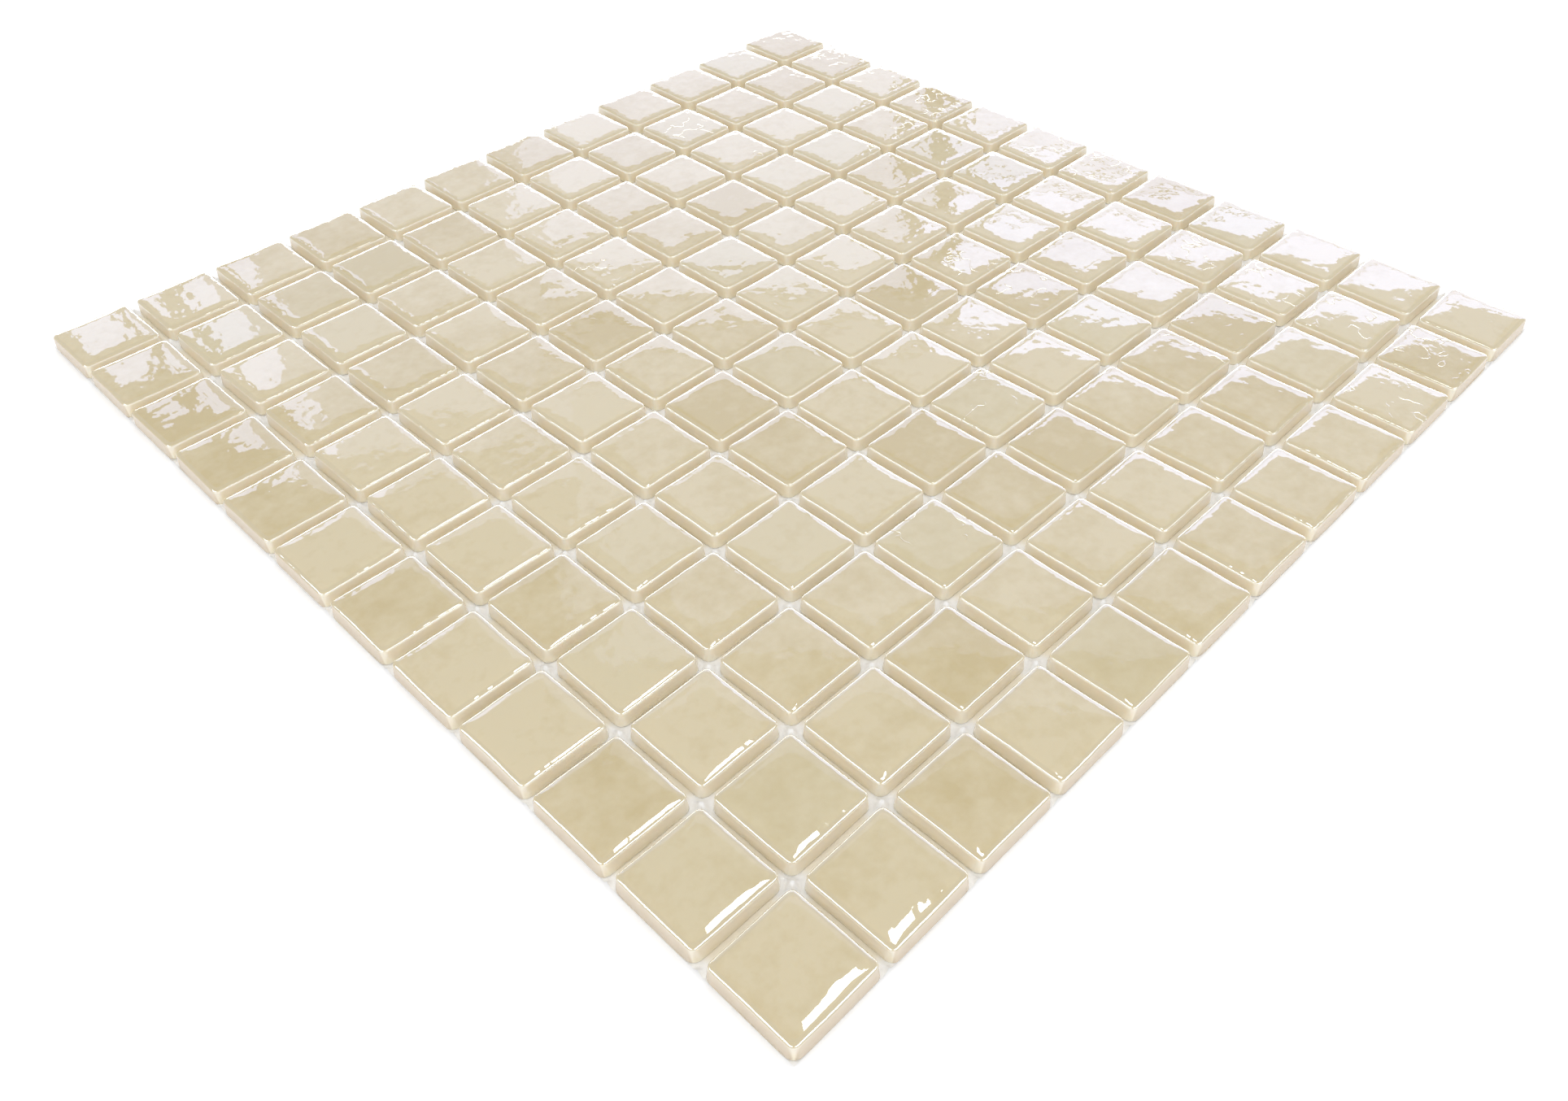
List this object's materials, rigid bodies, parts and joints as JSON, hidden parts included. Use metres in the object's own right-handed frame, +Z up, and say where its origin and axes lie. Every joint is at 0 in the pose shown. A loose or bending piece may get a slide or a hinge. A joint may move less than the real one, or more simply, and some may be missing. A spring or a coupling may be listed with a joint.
{
  "type": "glass mosaic tile sheet",
  "caption": "Square sheet of cream pearlised glass mosaic tiles on a white glass-yarn net, laid flat as stock for tiling a wall, floor or pool.",
  "frame": {"origin": "middle of the sheet's underside, on the surface that it lies on", "axes": "+Z up, out of the tiles' faces; X and Y along the sheet's edges, X along each row of tiles"},
  "size_m": [0.298, 0.298, 0.0051],
  "materials": {
    "cream_glass": "opaque cream glass, glossy, with a pearl lustre",
    "white_net": "white glass yarn stiffened with white glue"
  },
  "bodies": {
    "root": {"tile_row_01": "cream_glass", "tile_row_02": "cream_glass", "tile_row_03": "cream_glass", "tile_row_04": "cream_glass", "tile_row_05": "cream_glass", "tile_row_06": "cream_glass", "tile_row_07": "cream_glass", "tile_row_08": "cream_glass", "tile_row_09": "cream_glass", "tile_row_10": "cream_glass", "tile_row_11": "cream_glass", "tile_row_12": "cream_glass", "net_lower_strands": "white_net", "net_upper_strands": "white_net"}
  },
  "joints": []
}
